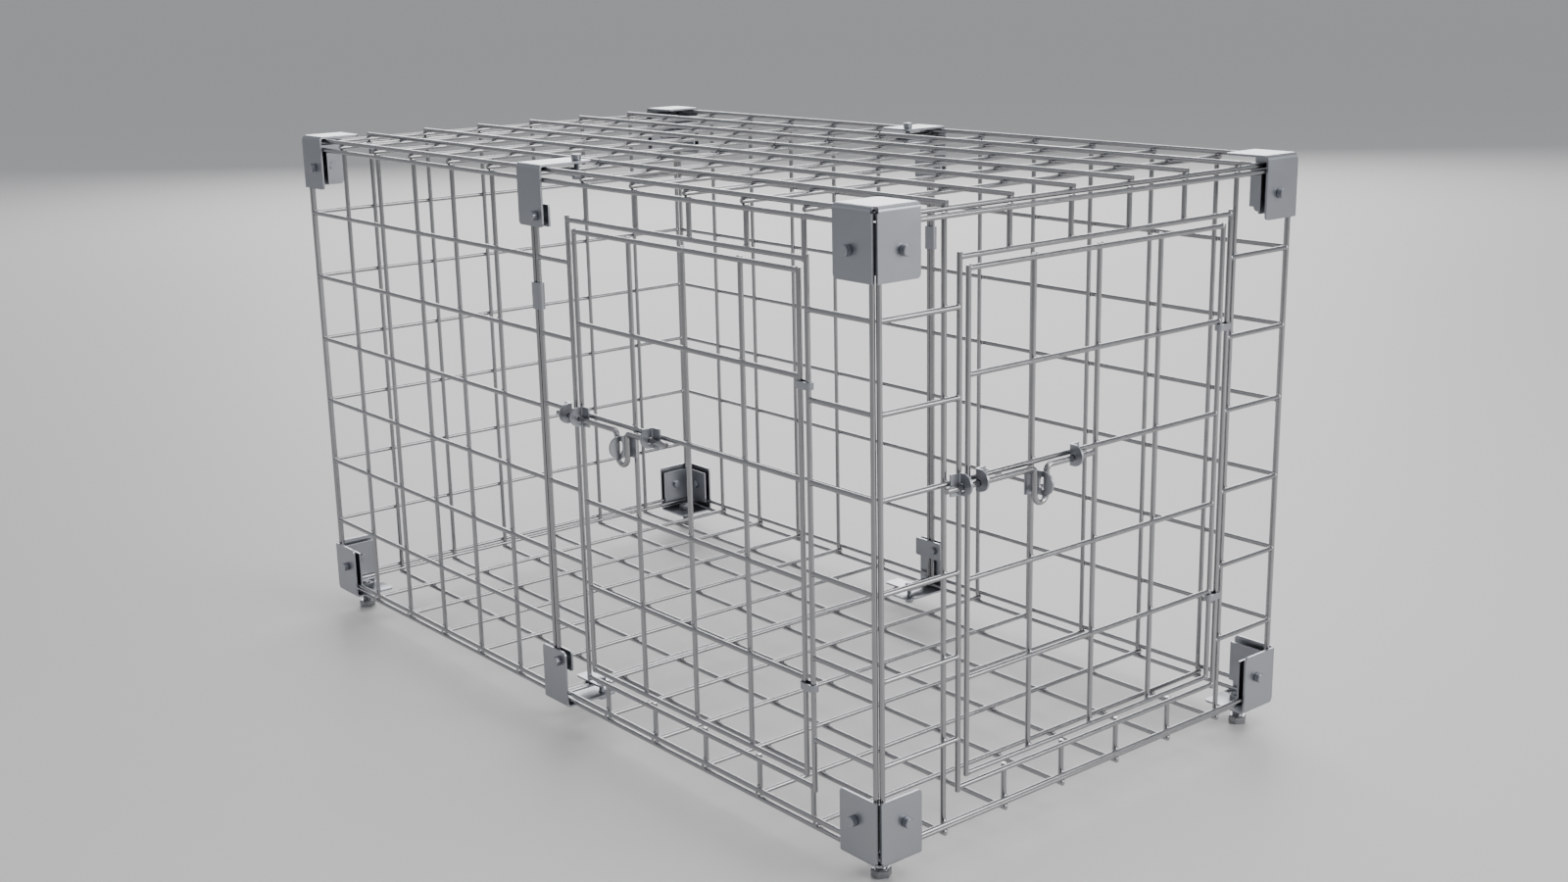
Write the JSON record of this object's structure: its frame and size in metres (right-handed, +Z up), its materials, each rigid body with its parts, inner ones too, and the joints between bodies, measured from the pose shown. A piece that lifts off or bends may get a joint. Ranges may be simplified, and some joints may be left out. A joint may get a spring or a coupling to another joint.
{
  "type": "wire kennel cage",
  "caption": "Bolt-together wire kennel cage with hinged doors in its long front and its right end, each held by a sliding bolt with a drop handle.",
  "frame": {"origin": "on the floor, under the middle of the cage's outline", "axes": "+X along the long front towards the end with a door, +Y towards the back, +Z up"},
  "size_m": [0.9438, 0.5278, 0.5437],
  "materials": {
    "wire": "bright zinc-plated round wire",
    "sheet": "satin zinc-plated sheet",
    "fastener": "zinc-plated bolt"
  },
  "bodies": {
    "root": {"front_left_panel": "wire", "front_door_panel": "wire", "back_left_panel": "wire", "back_right_panel": "wire", "left_end_panel": "wire", "right_end_panel": "wire", "roof_left_panel": "wire", "roof_right_panel": "wire", "floor_left_panel": "wire", "floor_right_panel": "wire", "front_bolt_keeper": "sheet", "end_bolt_keeper": "sheet", "top_front_left_cap": "sheet", "top_front_left_clamp": "sheet", "top_front_right_cap": "sheet", "top_front_right_clamp": "sheet", "top_front_mid_strap": "sheet", "top_front_mid_wall_clamp": "sheet", "top_front_mid_deck_clamp": "sheet", "top_back_left_cap": "sheet", "top_back_left_clamp": "sheet", "top_back_right_cap": "sheet", "top_back_right_clamp": "sheet", "top_back_mid_strap": "sheet", "top_back_mid_wall_clamp": "sheet", "top_back_mid_deck_clamp": "sheet", "bottom_front_left_cap": "sheet", "bottom_front_left_clamp": "sheet", "bottom_front_right_cap": "sheet", "bottom_front_right_clamp": "sheet", "bottom_front_mid_strap": "sheet", "bottom_front_mid_wall_clamp": "sheet", "bottom_front_mid_deck_clamp": "sheet", "bottom_back_left_cap": "sheet", "bottom_back_left_clamp": "sheet", "bottom_back_right_cap": "sheet", "bottom_back_right_clamp": "sheet", "bottom_back_mid_strap": "sheet", "bottom_back_mid_wall_clamp": "sheet", "bottom_back_mid_deck_clamp": "sheet", "front_left_foot": "fastener", "front_right_foot": "fastener", "front_mid_sleeve": "sheet", "back_left_foot": "fastener", "back_right_foot": "fastener", "back_mid_sleeve": "sheet"},
    "front_door_leaf": {"front_door": "wire", "front_bolt_guide_outer": "sheet", "front_bolt_guide_inner": "sheet", "front_lock_tab": "sheet", "front_hinge_lower": "sheet", "front_hinge_upper": "sheet"},
    "end_door_leaf": {"end_door": "wire", "end_bolt_guide_outer": "sheet", "end_bolt_guide_inner": "sheet", "end_lock_tab": "sheet", "end_hinge_lower": "sheet", "end_hinge_upper": "sheet"},
    "front_bolt": {"front_latch_bolt": "wire"},
    "end_bolt": {"end_latch_bolt": "wire"}
  },
  "joints": [
    {"name": "front_door_hinge", "type": "hinge", "parent": "root", "child": "front_door_leaf", "pos_m": [0.3749, -0.2434, 0.277], "axis": [0, 0, 1], "range_deg": [0, 145]},
    {"name": "end_door_hinge", "type": "hinge", "parent": "root", "child": "end_door_leaf", "pos_m": [0.4514, 0.1681, 0.277], "axis": [0, 0, 1], "range_deg": [0, 145]},
    {"name": "front_bolt_lift", "type": "hinge", "parent": "front_door_leaf", "child": "front_bolt", "pos_m": [0.14, -0.2503, 0.3149], "axis": [-1, 0, 0], "range_deg": [0, 170]},
    {"name": "end_bolt_lift", "type": "hinge", "parent": "end_door_leaf", "child": "end_bolt", "pos_m": [0.4583, -0.07, 0.3149], "axis": [0, -1, 0], "range_deg": [0, 170]}
  ]
}
